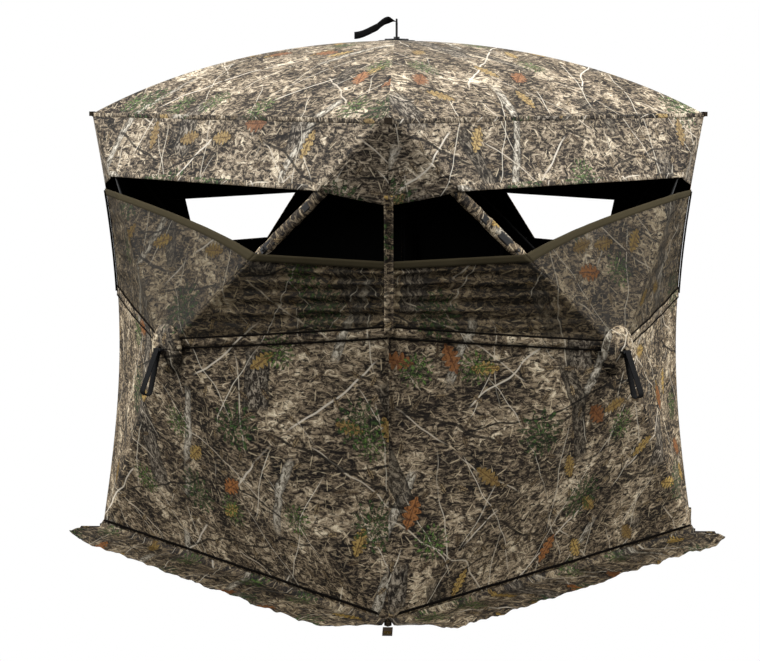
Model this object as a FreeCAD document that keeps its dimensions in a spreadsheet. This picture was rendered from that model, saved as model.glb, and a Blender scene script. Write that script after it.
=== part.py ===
import FreeCAD
import Part
import Sketcher
import os

# Pop-up ground blind: five push-out hubs, twenty hinged poles, twenty fabric
# gores, a sewn-on ground skirt and the small fittings. Lengths in millimetres.
SIZES = {
    "footprint": 1524,
    "eave_height": 1510,
    "roof_rise": 254,
    "wall_bulge": 262,
    "hub_height": 785,
    "hinge_height": 6,
    "fabric_thick": 2,
    "seam_gap": 8,
    "hinge_gap": 5,
    "corner_cut": 40,
    "tip_gap": 75,
    "roof_tip_gap": 100,
    "roof_tip_relief": 30,
    "clamp_drop": 12,
    "pin_reach": 48,
    "pin_depth": 20,
    "roof_pin_depth": 24,
    "pin_radius": 2.5,
    "pin_play": 0.07,
    "core_radius": 58,
    "core_depth": 34,
    "slot_width": 14,
    "slot_start": 36,
    "washer_radius": 64,
    "plate_radius": 42,
    "plate_thick": 5,
    "bolt_radius": 4,
    "bolt_play": 0.3,
    "nut_radius": 11,
    "nut_height": 7,
    "eye_reach": 30,
    "roof_eye_reach": 71,
    "eye_drop": 12,
    "eye_width": 37,
    "bar_radius": 3,
    "socket_radius": 6,
    "socket_length": 60,
    "eye_radius": 8,
    "rod_radius": 4.75,
    "cap_radius": 6.5,
    "cap_length": 24,
    "pole_stop": 75,
    "sleeve_width": 30,
    "sleeve_thick": 14,
    "sleeve_inset": 130,
    "web_width": 25,
    "web_thick": 2,
    "loop_length": 134,
    "loop_tilt": 20,
    "loop_round": 16,
    "bar_play": 0.07,
    "valance_part": 0.3,
    "valance_outer_part": 0.345,
    "screen_near_part": 0.4345,
    "screen_mid_part": 0.64,
    "screen_outer_part": 0.63,
    "sill_part": 0.103,
    "rear_window_top_part": 0.455,
    "rear_window_base_part": 0.703,
    "rear_window_top_half": 275,
    "rear_window_base_half": 180,
    "door_inset": 60,
    "door_reach": 460,
    "door_margin": 60,
    "door_gap": 3,
    "skirt_width": 175,
    "skirt_thick": 3,
    "skirt_tuck": 12,
    "skirt_cut": 45,
    "piping_radius": 2.5,
    "piping_inset": 14,
    "strap_width": 30,
    "strap_out": 4,
    "boot_size": 16,
    "tab_width": 30,
    "tab_length": 72,
    "stake_hole": 6,
    "grommet_radius": 11,
}

HALF = "sizes.footprint / 2"
RISE = "(sizes.eave_height - sizes.hub_height)"
FALL = "(sizes.hub_height - sizes.hinge_height)"
SPAN = "(sizes.eave_height - sizes.hinge_height)"
CLAMP = "(sizes.wall_bulge - sizes.clamp_drop)"
ROOF_BEND = "(({0}) ^ 2 + sizes.roof_rise ^ 2) / (2 * sizes.roof_rise)".format(HALF)
DIAGONAL = "(sizes.footprint / sqrt(2))"
POLE_BEND = "(({0}) ^ 2 + sizes.roof_rise ^ 2) / (2 * sizes.roof_rise)".format(DIAGONAL)

# Each side's own frame: x along the wall, y up, z outwards.
SIDES = {
    "front": "placement(vector(0; -sizes.footprint / 2; 0); rotation(0; 0; 90))",
    "right": "placement(vector(sizes.footprint / 2; 0; 0); rotation(90; 0; 90))",
    "back": "placement(vector(0; sizes.footprint / 2; 0); rotation(180; 0; 90))",
    "left": "placement(vector(-sizes.footprint / 2; 0; 0); rotation(270; 0; 90))",
}
TOP = "placement(vector(0; 0; sizes.eave_height); rotation(0; 0; 0))"

doc = FreeCAD.newDocument("GroundBlind")
sheet = doc.addObject("Spreadsheet::Sheet", "sizes")
nodes = []


def fill_sheet():
    for row, (name, value) in enumerate(SIZES.items(), start=1):
        sheet.set("A{0}".format(row), name)
        sheet.set("B{0}".format(row), str(value))
        sheet.setAlias("B{0}".format(row), name)
    doc.recompute()


def number(text):
    value = sheet.evalExpression(text)
    return float(getattr(value, "Value", value))


def move(x, y, z, turn="rotation(0; 0; 0)"):
    return "placement(vector({0}; {1}; {2}); {3})".format(x, y, z, turn)


def put(item, place):
    item.setExpression("Placement", place)
    return item


def origin_plane(body, role):
    for feature in body.Origin.OriginFeatures:
        if feature.Role == role:
            return feature
    raise ValueError("no origin plane " + role)


def add_polygon(sketch, points):
    corners = [FreeCAD.Vector(number(x), number(y), 0) for x, y in points]
    count = len(corners)
    first = sketch.GeometryCount
    for index in range(count):
        line = Part.LineSegment(corners[index], corners[(index + 1) % count])
        sketch.addGeometry(line, False)
    for index in range(count):
        following = first + (index + 1) % count
        sketch.addConstraint(Sketcher.Constraint("Coincident", first + index, 2, following, 1))
    for index, (x, y) in enumerate(points):
        for kind, text in (("DistanceX", x), ("DistanceY", y)):
            constraint = Sketcher.Constraint(kind, first + index, 1, number(text))
            made = sketch.addConstraint(constraint)
            sketch.setExpression("Constraints[{0}]".format(made), text)


def slab(name, outlines, thick, centred=True):
    """Body padded from polygons: the first is the outline, the rest are holes."""
    body = doc.addObject("PartDesign::Body", name)
    sketch = body.newObject("Sketcher::SketchObject", name + "_sketch")
    sketch.AttachmentSupport = [(origin_plane(body, "XY_Plane"), "")]
    sketch.MapMode = "FlatFace"
    for outline in outlines:
        add_polygon(sketch, outline)
    pad = body.newObject("PartDesign::Pad", name + "_pad")
    pad.Profile = sketch
    pad.Midplane = centred
    pad.setExpression("Length", thick)
    body.Tip = pad
    return body


def cylinder(name, radius, height, place):
    item = doc.addObject("Part::Cylinder", name)
    item.setExpression("Radius", radius)
    item.setExpression("Height", height)
    return put(item, place)


def box(name, length, width, height, place):
    item = doc.addObject("Part::Box", name)
    item.setExpression("Length", length)
    item.setExpression("Width", width)
    item.setExpression("Height", height)
    return put(item, place)


def fuse(name, items):
    item = doc.addObject("Part::MultiFuse", name)
    item.Shapes = items
    return item


def cut(name, base, tool):
    item = doc.addObject("Part::Cut", name)
    item.Base = base
    item.Tool = tool
    return item


def node(name, items, place):
    item = doc.addObject("Part::Compound", name)
    item.Label = name
    item.Links = items
    nodes.append(put(item, place))
    return item


# ---------------------------------------------------------------- wall gores
def level(part):
    """Height above the hub as a share of the rise from hub to eave."""
    return "(sizes.hub_height + sizes.{0} * {1})".format(part, RISE)


def drop(part):
    """Height below the eave as a share of the same rise."""
    return "(sizes.eave_height - sizes.{0} * {1})".format(part, RISE)


def facet_depth(height):
    """Distance down the upper facet from the eave hinge to a height."""
    slope = "sqrt({0} ^ 2 + sizes.wall_bulge ^ 2) / {0}".format(RISE)
    return "(sizes.eave_height - {0}) * {1}".format(height, slope)


def lean(depth, rise):
    """Distance in from the corner of the flat diagonal at a facet depth."""
    return "(({0}) * {1} / {2} + sizes.seam_gap)".format(HALF, depth, rise)


def far(text):
    return "sizes.footprint - {0}".format(text)


def end_gore(rise, start, stop):
    """Upper or lower gore outline between two facet depths."""
    low = "(sizes.corner_cut - sizes.seam_gap) * {0} / ({1})".format(rise, HALF)
    if start is None:
        head = [("sizes.corner_cut", low), ("sizes.corner_cut", "sizes.hinge_gap"),
                (far("sizes.corner_cut"), "sizes.hinge_gap"), (far("sizes.corner_cut"), low)]
    else:
        left, right = start
        head = [(lean(left, rise), left), (far(lean(right, rise)), right)]
    return head + [(far(lean(stop, rise)), stop), (lean(stop, rise), stop)]


def under(depth):
    """Lower edge of a side gore above the hinge height."""
    return "({0} * {1} / ({2}) + sizes.seam_gap)".format(FALL, depth, HALF)


def over(depth):
    """Upper edge of a side gore above the hinge height."""
    return "({0} - {1} * {2} / ({3}) - sizes.seam_gap)".format(SPAN, RISE, depth, HALF)


def reach(height):
    """Facet depth where the upper edge of a side gore comes down to a height."""
    return "((sizes.eave_height - {0} - sizes.seam_gap) * ({1}) / {2})".format(
        height, HALF, RISE)


GAP = "sizes.hinge_gap"
TIP = "({0} - sizes.tip_gap)".format(HALF)
LOW_CUT = "((sizes.corner_cut - sizes.seam_gap) * ({0}) / {1})".format(HALF, FALL)
HIGH_CUT = "((sizes.corner_cut - sizes.seam_gap) * ({0}) / {1})".format(HALF, RISE)
SEAM = "sizes.fabric_thick / 2"


def above(height, shift="0"):
    return "({0} - sizes.hinge_height + ({1}))".format(height, shift)


def side_outline():
    return [(GAP, "sizes.corner_cut"), (LOW_CUT, "sizes.corner_cut"), (TIP, under(TIP)),
            (TIP, over(TIP)), (HIGH_CUT, "({0} - sizes.corner_cut)".format(SPAN)),
            (GAP, "({0} - sizes.corner_cut)".format(SPAN))]


def lower_cloth():
    sill = level("sill_part")
    return [(GAP, "sizes.corner_cut"), (LOW_CUT, "sizes.corner_cut"), (TIP, under(TIP)),
            (TIP, over(TIP)), (reach(sill), above(sill)), (GAP, above(sill))]


def side_screen(corner_height, ridge_height):
    sill = level("sill_part")
    return [(GAP, above(sill, SEAM)), (reach(sill) + " - " + SEAM, above(sill, SEAM)),
            (reach(ridge_height), above(ridge_height)), (GAP, above(corner_height))]


def side_valance(corner_height, ridge_height):
    return [(GAP, above(corner_height)), (reach(ridge_height), above(ridge_height)),
            (HIGH_CUT, "({0} - sizes.corner_cut)".format(SPAN)),
            (GAP, "({0} - sizes.corner_cut)".format(SPAN))]


UPPER_TURN = "rotation(0; 0; 180deg - atan(sizes.wall_bulge / {0}))".format(RISE)
LOWER_TURN = "rotation(0; 0; atan(sizes.wall_bulge / {0}))".format(FALL)
SIDE_TILT = "atan(2 * sizes.wall_bulge / sizes.footprint)"
FACETS = {
    "upper": move("-" + HALF, "sizes.eave_height", 0, UPPER_TURN),
    "lower": move("-" + HALF, "sizes.hinge_height", 0, LOWER_TURN),
    "left": move("-" + HALF, "sizes.hinge_height", 0, "rotation(0; -{0}; 0)".format(SIDE_TILT)),
    "right": move(HALF, "sizes.hinge_height", 0, "rotation(0; 180deg + {0}; 0)".format(SIDE_TILT)),
}


def gore(side, facet, pieces):
    """Node of cloth slabs lying in one facet of one wall."""
    bodies = []
    for index, outlines in enumerate(pieces):
        name = "{0}_{1}_cloth_{2}".format(side, facet, index)
        body = slab(name, outlines, "sizes.fabric_thick")
        bodies.append(put(body, FACETS[facet]))
    node("{0}_{1}_gore".format(side, facet), bodies, SIDES[side])


def upper_stop():
    return "({0} - sizes.tip_gap)".format(RISE)


def lower_stop():
    return "({0} - sizes.tip_gap)".format(FALL)


def window_wall(side, near, outer):
    """Wall with a lowered screen: near names its facet at the shared corner."""
    brim = facet_depth(drop("valance_part"))
    valance = end_gore(RISE, None, brim)
    shallow = facet_depth(level("screen_mid_part"))
    deep = facet_depth(level("screen_near_part"))
    start = (shallow, deep) if near == "right" else (deep, shallow)
    screen = end_gore(RISE, start, upper_stop())
    gore(side, "upper", [[valance], [screen]])
    brow = drop("valance_part")
    gore(side, near, [[lower_cloth()],
                      [side_screen(level("screen_near_part"), level("screen_near_part"))],
                      [side_valance(brow, brow)]])
    gore(side, outer, [[lower_cloth()],
                       [side_screen(level("screen_outer_part"), level("screen_mid_part"))],
                       [side_valance(drop("valance_outer_part"), brow)]])
    gore(side, "lower", [[end_gore(FALL, None, lower_stop())]])


def rear_window():
    top = facet_depth(drop("rear_window_top_part"))
    base = facet_depth(drop("rear_window_base_part"))
    wide = "sizes.rear_window_top_half"
    slim = "sizes.rear_window_base_half"
    return [("{0} - {1}".format(HALF, wide), top), ("{0} + {1}".format(HALF, wide), top),
            ("{0} + {1}".format(HALF, slim), base), ("{0} - {1}".format(HALF, slim), base)]


def door_outline(grow):
    start = "(sizes.door_inset - {0})".format(grow)
    stop = "(sizes.door_reach + {0})".format(grow)
    margin = "(sizes.door_margin - {0})".format(grow)
    return [(start, "{0} + {1}".format(under(start), margin)),
            (stop, "{0} + {1}".format(under(stop), margin)),
            (stop, "{0} - {1}".format(over(stop), margin)),
            (start, "{0} - {1}".format(over(start), margin))]


def plain_wall(side, pieces_right):
    gore(side, "upper", [[end_gore(RISE, None, upper_stop()), rear_window()]])
    gore(side, "left", [[side_outline()]])
    gore(side, "right", pieces_right)
    gore(side, "lower", [[end_gore(FALL, None, lower_stop())]])


def build_walls():
    window_wall("front", "right", "left")
    window_wall("right", "left", "right")
    plain_wall("back", [[side_outline(), door_outline("sizes.door_gap")]])
    plain_wall("left", [[side_outline()]])
    flap = put(slab("door_cloth", [door_outline("0")], "sizes.fabric_thick"), FACETS["right"])
    node("door_flap", [flap], SIDES["back"])


def build_zip_slider():
    depth = "(sizes.door_reach - 30)"
    height = "({0} - sizes.door_margin + 2 * sizes.door_gap)".format(over(depth))
    slope = "rotation(-atan({0} / ({1})); 0; 0)".format(RISE, HALF)
    body = box("slider_body", "20", "11", "3.5", move(-10, -5.5, "-sizes.fabric_thick / 2 - 3.8"))
    tab = box("slider_tab", "24", "5", "1.2", move(8, -2.5, "-sizes.fabric_thick / 2 - 5.4"))
    place = "{0} * {1} * {2}".format(SIDES["back"], FACETS["right"],
                                     move(depth, height, 0, slope))
    node("door_zip_slider", [fuse("slider", [body, tab])], place)


# ---------------------------------------------------------------- roof gores
def roof_point(depth):
    """Plan point of a roof gore edge, kept clear while the roof turns through flat."""
    angle = "(({0}) - ({1}))".format(HALF, depth)
    height = "(sqrt(({0}) ^ 2 - {1} ^ 2) + sizes.roof_rise - ({0}))".format(ROOF_BEND, angle)
    return "(sqrt(({0}) ^ 2 + {1} ^ 2) + 0.8 * sizes.seam_gap)".format(depth, height)


def roof_outline():
    low = "(sizes.corner_cut / 2)"
    stops = [low, "0.13 * ({0})".format(HALF), "0.27 * ({0})".format(HALF),
             "0.52 * ({0})".format(HALF), "({0} - sizes.roof_tip_gap)".format(HALF)]
    edge = [roof_point(stop) for stop in stops]
    edge[-1] = "({0} + sizes.roof_tip_relief)".format(edge[-1])
    rising = list(zip(edge, stops))
    falling = [(far(x), stop) for x, stop in reversed(rising)]
    base = [(far("sizes.corner_cut"), GAP), ("sizes.corner_cut", GAP)]
    return rising + falling + base


def build_roof():
    for index, side in enumerate(("front", "right", "back", "left")):
        name = "roof_" + side
        half_thick = "sizes.fabric_thick / 2"
        middle = "sizes.roof_rise - ({0})".format(ROOF_BEND)
        lying = move("-" + HALF, 0, middle, "rotation(0; 90; 0)")
        outer = cylinder(name + "_outer", "({0}) + {1}".format(ROOF_BEND, half_thick),
                         "sizes.footprint", lying)
        inner = cylinder(name + "_inner", "({0}) - {1}".format(ROOF_BEND, half_thick),
                         "sizes.footprint", lying)
        shell = cut(name + "_shell", outer, inner)
        plan = slab(name + "_plan", [roof_outline()], "sizes.roof_rise * 2.4")
        put(plan, move("-" + HALF, "-" + HALF, 0))
        panel = doc.addObject("Part::Common", name + "_panel")
        panel.Base = shell
        panel.Tool = plan
        turn = "placement(vector(0; 0; sizes.eave_height); rotation({0}; 0; 0))".format(90 * index)
        node(name + "_gore", [panel], turn)


# ---------------------------------------------------------------- poles
UP_ANGLE = "atan({0} / ({1}))".format(RISE, HALF)
DOWN_ANGLE = "atan({0} / ({1}))".format(FALL, HALF)
UP_FLAT = "sqrt(({0}) ^ 2 + {1} ^ 2)".format(HALF, RISE)
DOWN_FLAT = "sqrt(({0}) ^ 2 + {1} ^ 2)".format(HALF, FALL)


def socket(name):
    eye = cylinder(name + "_eye", "sizes.eye_radius", "2 * sizes.socket_radius",
                   move(0, "-sizes.socket_radius", 0, "rotation(0; 0; -90)"))
    arm = cylinder(name + "_arm", "sizes.socket_radius - 0.4", "sizes.socket_length",
                   move(0, 0, 0, "rotation(0; 90; 0)"))
    bore = cylinder(name + "_bore", "sizes.pin_radius + sizes.pin_play",
                    "4 * sizes.socket_radius",
                    move(0, "-2 * sizes.socket_radius", 0, "rotation(0; 0; -90)"))
    return cut(name + "_socket", fuse(name + "_lug", [eye, arm]), bore)


def sleeve(name, length):
    run = "({0} - 2 * sizes.sleeve_inset)".format(length)
    edge = "(sizes.sleeve_width - sizes.sleeve_thick) / 2"
    pieces = [box(name + "_flat", run, "2 * {0}".format(edge), "sizes.sleeve_thick",
                  move("sizes.sleeve_inset", "-" + edge, "-sizes.sleeve_thick / 2"))]
    for index, sign in enumerate(("", "-")):
        pieces.append(cylinder("{0}_round_{1}".format(name, index), "sizes.sleeve_thick / 2",
                               run, move("sizes.sleeve_inset", sign + edge, 0,
                                         "rotation(0; 90; 0)")))
    hollow = cylinder(name + "_hollow", "sizes.rod_radius + 0.3", length,
                      move(0, 0, 0, "rotation(0; 90; 0)"))
    return cut(name + "_sleeve", fuse(name + "_tube", pieces), hollow)


def wall_pole(side, corner, sleeved):
    name = "{0}_{1}_pole".format(side, corner)
    high = corner.startswith("upper")
    flat = UP_FLAT if high else DOWN_FLAT
    angle = UP_ANGLE if high else DOWN_ANGLE
    yaws = {"upper_right": angle, "upper_left": "180deg - " + angle,
            "lower_left": "180deg + " + angle, "lower_right": "-" + angle}
    yaw = yaws[corner]
    ridge = "sqrt({0} ^ 2 + sizes.wall_bulge ^ 2)".format(flat)
    end = "({0} * (1 - sizes.pin_reach / {1}) - sizes.pole_stop - sizes.cap_length)".format(
        ridge, flat)
    along = "rotation(0; 90; 0)"
    rod = cylinder(name + "_rod", "sizes.rod_radius", end + " - sizes.socket_length - 0.3",
                   move("sizes.socket_length + 0.3", 0, 0, along))
    cap = cylinder(name + "_cap", "sizes.cap_radius", "sizes.cap_length",
                   move(end + " + 0.3", 0, 0, along))
    items = [socket(name), rod, cap]
    if sleeved:
        items.append(sleeve(name, end))
    tilt = "atan(sizes.wall_bulge / {0})".format(flat)
    pin = move("sizes.pin_reach * cos({0})".format(yaw),
               "sizes.hub_height + sizes.pin_reach * sin({0})".format(yaw),
               CLAMP + " - sizes.pin_depth", "rotation({0}; {1}; 0)".format(yaw, tilt))
    node(name, items, SIDES[side] + " * " + pin)
    return SIDES[side] + " * " + pin


def build_wall_poles():
    corners = ("upper_left", "upper_right", "lower_right", "lower_left")
    for side in SIDES:
        for corner in corners:
            sleeved = (side, corner) in (("front", "upper_right"), ("right", "upper_left"))
            place = wall_pole(side, corner, sleeved)
            if sleeved:
                window_hook(side, place)


def window_hook(side, pole_place):
    """Small hook on the sleeve where the screen is fastened to the pole."""
    where = "({0} * (sizes.screen_near_part + 0.03) - sizes.pin_reach)".format(UP_FLAT)
    base = box(side + "_hook_base", "14", "18", "2.4", move(-7, -9, "sizes.sleeve_thick / 2 + 0.3"))
    post = box(side + "_hook_post", "4", "4", "6", move(-2, -2, "sizes.sleeve_thick / 2 + 1.5"))
    lip = box(side + "_hook_lip", "12", "6", "2", move(-3, -3, "sizes.sleeve_thick / 2 + 6.5"))
    name = side + "_window_hook"
    place = "{0} * {1}".format(pole_place, move(where, 0, 0))
    node(name, [fuse(name + "_solid", [base, post, lip])], place)


def build_roof_poles():
    corners = {"front_right": "-45", "back_right": "45", "back_left": "135",
               "front_left": "225"}
    for corner, yaw in corners.items():
        name = "roof_{0}_pole".format(corner)
        total = "(2 * atan(sizes.roof_rise / {0}))".format(DIAGONAL)
        first = "(180 / pi * (sizes.socket_length + 0.3) / ({0}))".format(POLE_BEND)
        lost = "(180 / pi * (sizes.pin_reach + sizes.pole_stop + sizes.cap_length) / ({0}))".format(
            POLE_BEND)
        rod = doc.addObject("Part::Torus", name + "_rod")
        rod.setExpression("Radius1", POLE_BEND)
        rod.setExpression("Radius2", "sizes.rod_radius")
        sweep = "({0} / 1deg - {1} - {2})".format(total, lost, first)
        rod.setExpression("Angle3", sweep)
        put(rod, "{0} * {1}".format(
            move(0, 0, "-({0})".format(POLE_BEND), "rotation(0; {0}; 0)".format(first)),
            "placement(vector(0; 0; 0); rotation(vector(1; 1; 1); 240))"))
        bend = "({0} + {1})".format(sweep, first)
        cap = cylinder(name + "_cap", "sizes.cap_radius", "sizes.cap_length",
                       "{0} * {1}".format(
                           move(0, 0, "-({0})".format(POLE_BEND),
                                "rotation(0; {0}; 0)".format(bend)),
                           move(0.3, 0, POLE_BEND, "rotation(0; 90; 0)")))
        pin = move("sizes.pin_reach * cos({0})".format(yaw),
                   "sizes.pin_reach * sin({0})".format(yaw),
                   "sizes.roof_rise - sizes.roof_pin_depth",
                   "rotation({0}; 180 / pi * sizes.pin_reach / ({1}); 0)".format(yaw, POLE_BEND))
        node(name, [socket(name), rod, cap], TOP + " * " + pin)


# ---------------------------------------------------------------- hubs
def hub(side, yaws, place, eye_yaw, depth, reach):
    name = side + "_hub"
    bolt_hole = cylinder(name + "_hole", "sizes.bolt_radius + sizes.bolt_play", "200",
                         move(0, 0, -100))
    disc = cylinder(name + "_disc", "sizes.core_radius", "sizes.core_depth - 1.2",
                    move(0, 0, "-sizes.core_depth"))
    slots = [bolt_hole]
    pins = []
    for index, yaw in enumerate(yaws):
        turn = "placement(vector(0; 0; 0); rotation({0}; 0; 0)) * ".format(yaw)
        slots.append(box("{0}_slot_{1}".format(name, index), "sizes.core_radius",
                         "sizes.slot_width", "2 * sizes.core_depth",
                         turn + move("sizes.slot_start", "-sizes.slot_width / 2",
                                     "-1.5 * sizes.core_depth")))
        pins.append(cylinder("{0}_pin_{1}".format(name, index), "sizes.pin_radius",
                             "sizes.slot_width + 8",
                             turn + move("sizes.pin_reach", "-sizes.slot_width / 2 - 4",
                                         "-" + depth, "rotation(0; 0; -90)")))
    slotted = cut(name + "_slotted", disc, fuse(name + "_slots", slots))
    core = fuse(name + "_core", [slotted] + pins)
    washer = cut(name + "_washer", cylinder(name + "_cloth", "sizes.washer_radius",
                                            "sizes.fabric_thick",
                                            move(0, 0, "-sizes.fabric_thick / 2")), bolt_hole)
    plate = cut(name + "_plate", cylinder(name + "_cover", "sizes.plate_radius",
                                          "sizes.plate_thick",
                                          move(0, 0, "sizes.fabric_thick / 2 + 0.2")), bolt_hole)
    seat = "(sizes.fabric_thick / 2 + sizes.plate_thick + 0.4)"
    hexagon = doc.addObject("Part::Prism", name + "_hexagon")
    hexagon.Polygon = 6
    hexagon.setExpression("Circumradius", "sizes.nut_radius")
    hexagon.setExpression("Height", "sizes.nut_height")
    put(hexagon, move(0, 0, seat))
    nut = cut(name + "_nut", hexagon, bolt_hole)
    items = [core, washer, plate, nut, eyebolt(name, eye_yaw, reach)]
    node(name, items, place)


def eyebolt(name, yaw, reach):
    turn = "placement(vector(0; 0; 0); rotation({0}; 0; 0)) * ".format(yaw)
    base = "({0} - sizes.eye_drop)".format(reach)
    leg = "(sizes.eye_width - sizes.web_width - 2) / 2"
    stem = cylinder(name + "_stem", "sizes.bolt_radius", base + " + sizes.core_depth - 1 + 3",
                    move(0, 0, "1 - sizes.core_depth"))
    foot = box(name + "_foot", "sizes.eye_width", "6", "6",
               turn + move("-sizes.eye_width / 2", -3, base))
    bar = cylinder(name + "_bar", "sizes.bar_radius", "sizes.eye_width - 4",
                   turn + move("2 - sizes.eye_width / 2", 0, reach,
                               "rotation(0; 90; 0)"))
    legs = []
    for index, x in enumerate(("-sizes.eye_width / 2", "sizes.eye_width / 2 - " + leg)):
        legs.append(box("{0}_leg_{1}".format(name, index), leg, "6",
                        reach + " + 4 - " + base, turn + move(x, -3, base)))
    return fuse(name + "_eyebolt", [stem, foot, bar] + legs)


def build_hubs():
    yaws = [UP_ANGLE, "180deg - " + UP_ANGLE, "180deg + " + DOWN_ANGLE, "-" + DOWN_ANGLE]
    for side, frame in SIDES.items():
        hub(side, yaws, frame + " * " + move(0, "sizes.hub_height", CLAMP), "0",
            "sizes.pin_depth", "sizes.eye_reach")
    hub("roof", ["-45", "45", "135", "225"], TOP + " * " + move(0, 0, "sizes.roof_rise"), "-45",
        "sizes.roof_pin_depth", "sizes.roof_eye_reach")


# ---------------------------------------------------------------- pull loops
def teardrop(name, inset):
    """Solid teardrop around the bar: narrow at the bar, round at the far end."""
    head = "(sizes.bar_radius + sizes.bar_play + sizes.web_thick - {0})".format(inset)
    tail = "(sizes.loop_round - {0})".format(inset)
    wide = "sizes.web_width * {0}".format("1.4" if inset != "0" else "1")
    run = "sizes.loop_length"
    middle = "sizes.loop_round"
    side = slab(name + "_side", [[("{0} - {1}".format(middle, tail), "0"),
                                  ("{0} + {1}".format(middle, tail), "0"),
                                  ("{0} + {1}".format(middle, head), run),
                                  ("{0} - {1}".format(middle, head), run)]], wide)
    put(side, move(0, "-" + run, "-" + middle, "rotation(0; -90; 0)"))
    ends = [side]
    for tag, radius, drop_by in (("head", head, "0"), ("tail", tail, run)):
        ends.append(cylinder("{0}_{1}".format(name, tag), radius, wide,
                             move("-({0}) / 2".format(wide), "-" + drop_by, 0,
                                  "rotation(0; 90; 0)")))
    return fuse(name + "_solid", ends)


def pull_loop(side, place):
    name = side + "_pull_loop"
    band = cut(name + "_band", teardrop(name + "_outer", "0"),
               teardrop(name + "_inner", "sizes.web_thick"))
    node(name, [band], place)


def build_pull_loops():
    for side, frame in SIDES.items():
        pull_loop(side, frame + " * " + move(0, "sizes.hub_height", CLAMP + " + sizes.eye_reach",
                                             "rotation(0; 0; -sizes.loop_tilt * 1deg)"))
    lying = "rotation(-45; 0; 0) * rotation(0; 0; 10)"
    pull_loop("roof", TOP + " * " + move(0, 0, "sizes.roof_rise + sizes.roof_eye_reach", lying))


# ---------------------------------------------------------------- base and trim
def build_skirt():
    strips = []
    for side, frame in SIDES.items():
        outline = [("0.5", "sizes.skirt_tuck"), ("sizes.skirt_tuck", "0.5"),
                   (far("sizes.skirt_tuck"), "0.5"), (far("0.5"), "sizes.skirt_tuck"),
                   (far("sizes.skirt_cut"), "sizes.skirt_tuck + sizes.skirt_width"),
                   ("sizes.skirt_cut", "sizes.skirt_tuck + sizes.skirt_width")]
        strip = slab(side + "_strip", [outline], "sizes.skirt_thick", False)
        tuck = "placement(vector(-sizes.footprint / 2; 0; -sizes.skirt_tuck); rotation(0; 0; 90))"
        strips.append(put(strip, "{0} * {1} * {2}".format(
            frame, tuck, move(0, 0, "-sizes.skirt_thick"))))
    node("ground_skirt", strips, move(0, 0, 0))


def build_piping():
    run = "sizes.footprint - 2 * sizes.piping_inset"
    pieces = []
    for side, frame in SIDES.items():
        for tag, height in (("eave", "sizes.eave_height"), ("base", "sizes.hinge_height")):
            pieces.append(cylinder("{0}_{1}_piping".format(side, tag), "sizes.piping_radius", run,
                                   frame + " * " + move("sizes.piping_inset - " + HALF, height, 0,
                                                        "rotation(0; 90; 0)")))
        pieces.append(cylinder(side + "_corner_piping", "sizes.piping_radius",
                               SPAN + " - 2.5 * sizes.piping_inset",
                               frame + " * " + move(HALF,
                                                    "sizes.hinge_height + 1.5 * sizes.piping_inset",
                                                    0, "rotation(0; 0; -90)")))
    node("edge_piping", pieces, move(0, 0, 0))


def build_corners():
    straps = []
    boots = []
    tabs = []
    grommets = []
    for index in range(4):
        turn = "placement(vector(0; 0; 0); rotation({0}; 0; 0)) * ".format(90 * index - 45)
        straps.append(box("strap_{0}".format(index), "2", "sizes.strap_width",
                          "sizes.eave_height - 52",
                          turn + move(DIAGONAL + " + sizes.strap_out",
                                      "-sizes.strap_width / 2", 28)))
        spin = "placement(vector(0; 0; 0); rotation({0}; 0; 0)) * ".format(90 * index)
        side = "sizes.boot_size"
        near = HALF + " - sizes.boot_size / 2"
        boots.append(box("upper_boot_{0}".format(index), side, side, side,
                         spin + move(near, near, "sizes.eave_height - sizes.boot_size / 2")))
        boots.append(box("lower_boot_{0}".format(index), side, side, "0.8 * " + side,
                         spin + move(near, near, "sizes.skirt_thick + 0.3")))
        middle = DIAGONAL + " + 62"
        hole = cylinder("tab_hole_{0}".format(index), "sizes.grommet_radius + 0.3", "20",
                        turn + move(middle, 0, -10))
        tab = box("tab_{0}".format(index), "sizes.tab_length", "sizes.tab_width",
                  "sizes.skirt_thick - 0.4",
                  turn + move(DIAGONAL + " + 12", "-sizes.tab_width / 2", 0))
        tabs.append(cut("stake_tab_{0}".format(index), tab, hole))
        ring = cylinder("ring_{0}".format(index), "sizes.grommet_radius",
                        "sizes.skirt_thick + 1", turn + move(middle, 0, 0))
        bore = cylinder("ring_bore_{0}".format(index), "sizes.stake_hole", "20",
                        turn + move(middle, 0, -10))
        grommets.append(cut("grommet_{0}".format(index), ring, bore))
    node("corner_webbing", straps, move(0, 0, 0))
    node("corner_boots", boots, move(0, 0, 0))
    node("stake_loops", tabs, move(0, 0, 0))
    node("stake_grommets", grommets, move(0, 0, 0))


def check_and_export():
    for item in doc.Objects:
        if "Invalid" in item.State or "Error" in item.State:
            raise RuntimeError("feature failed: " + item.Name)
        shape = getattr(item, "Shape", None)
        if shape is not None and not shape.isNull() and not shape.isValid():
            raise RuntimeError("shape not valid: " + item.Name)
    os.makedirs("parts", exist_ok=True)
    for item in nodes:
        if item.Shape.isNull() or not item.Shape.Solids:
            raise RuntimeError("no solid in " + item.Label)
        item.Shape.exportStep("parts/{0}.step".format(item.Label))


fill_sheet()
build_skirt()
build_piping()
build_corners()
build_walls()
build_zip_slider()
build_roof()
build_wall_poles()
build_roof_poles()
build_hubs()
build_pull_loops()
doc.recompute()
check_and_export()
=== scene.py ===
"""Pop-up ground blind: builds the printed cloth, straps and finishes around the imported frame."""
import math

import bmesh
import bpy
from mathutils import Matrix, Vector, noise


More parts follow.
